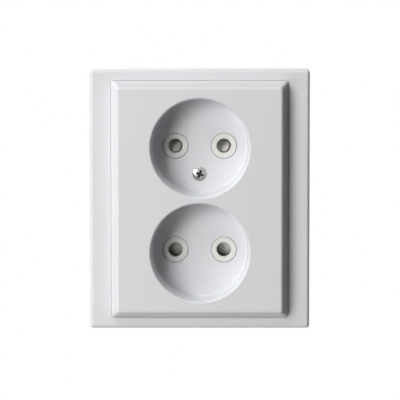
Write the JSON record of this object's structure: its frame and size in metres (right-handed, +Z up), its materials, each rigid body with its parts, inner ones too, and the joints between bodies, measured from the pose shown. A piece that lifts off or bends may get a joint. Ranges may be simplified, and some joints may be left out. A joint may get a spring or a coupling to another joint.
{
  "type": "double wall socket",
  "caption": "Flush double wall socket without earth: square-edged cover frame, raised centre plate with two round wells, shuttered pin holes, spreading claws and screwless terminals.",
  "frame": {"origin": "on the wall plane, midway between the two outlets, at the centre of the box screw line", "axes": "+X to the right as seen from the room, +Y into the wall, +Z up"},
  "size_m": [0.086, 0.0446, 0.1016],
  "materials": {
    "white_plastic": "satin white",
    "cream_plastic": "cream, fine satin",
    "shutter_plastic": "beige grey",
    "base_plastic": "moulded grey",
    "lever_plastic": "orange",
    "galvanised_steel": "zinc plated",
    "screw_steel": "bright nickel plated",
    "spring_steel": "bright spring steel",
    "brass": "bare brass"
  },
  "bodies": {
    "socket": {"cover_frame": "white_plastic", "centre_plate": "white_plastic", "contact_cover": "cream_plastic", "socket_base": "base_plastic", "rear_housing": "base_plastic", "support_ring": "galvanised_steel", "cover_screw": "screw_steel", "assembly_screws": "screw_steel", "shutter_spring_upper": "spring_steel", "shutter_spring_lower": "spring_steel", "clamp_spring_upper_left": "spring_steel", "clamp_spring_lower_left": "spring_steel", "clamp_spring_upper_right": "spring_steel", "clamp_spring_lower_right": "spring_steel", "contact_collar_upper_left": "spring_steel", "contact_collar_lower_left": "spring_steel", "contact_collar_upper_right": "spring_steel", "contact_collar_lower_right": "spring_steel", "contact_strip_left": "brass", "contact_strip_right": "brass", "screw_bush": "brass"},
    "shutter_upper": {"shutter_upper": "shutter_plastic"},
    "shutter_lower": {"shutter_lower": "shutter_plastic"},
    "release_left": {"release_lever_left": "lever_plastic"},
    "release_right": {"release_lever_right": "lever_plastic"},
    "claw_left": {"claw_left": "galvanised_steel", "claw_screw_left": "screw_steel"},
    "claw_right": {"claw_right": "galvanised_steel", "claw_screw_right": "screw_steel"}
  },
  "joints": [
    {"name": "shutter_upper_slide", "type": "slide", "parent": "socket", "child": "shutter_upper", "axis": [0, 0, -1], "range_m": [0, 0.0058], "stiffness_N_per_m": 300, "springref_m": -0.002, "deforming": ["shutter_spring_upper"]},
    {"name": "shutter_lower_slide", "type": "slide", "parent": "socket", "child": "shutter_lower", "axis": [0, 0, 1], "range_m": [0, 0.0058], "stiffness_N_per_m": 300, "springref_m": -0.002, "deforming": ["shutter_spring_lower"]},
    {"name": "release_left_press", "type": "slide", "parent": "socket", "child": "release_left", "axis": [0, -1, 0], "range_m": [0, 0.0015], "stiffness_N_per_m": 800, "springref_m": -0.001},
    {"name": "release_right_press", "type": "slide", "parent": "socket", "child": "release_right", "axis": [0, -1, 0], "range_m": [0, 0.0015], "stiffness_N_per_m": 800, "springref_m": -0.001},
    {"name": "claw_left_spread", "type": "hinge", "parent": "socket", "child": "claw_left", "pos_m": [-0.023, -0.00275, 0.008], "axis": [0, 0, 1], "range_deg": [0, 15]},
    {"name": "claw_right_spread", "type": "hinge", "parent": "socket", "child": "claw_right", "pos_m": [0.023, -0.00275, -0.008], "axis": [0, 0, -1], "range_deg": [0, 15]}
  ]
}
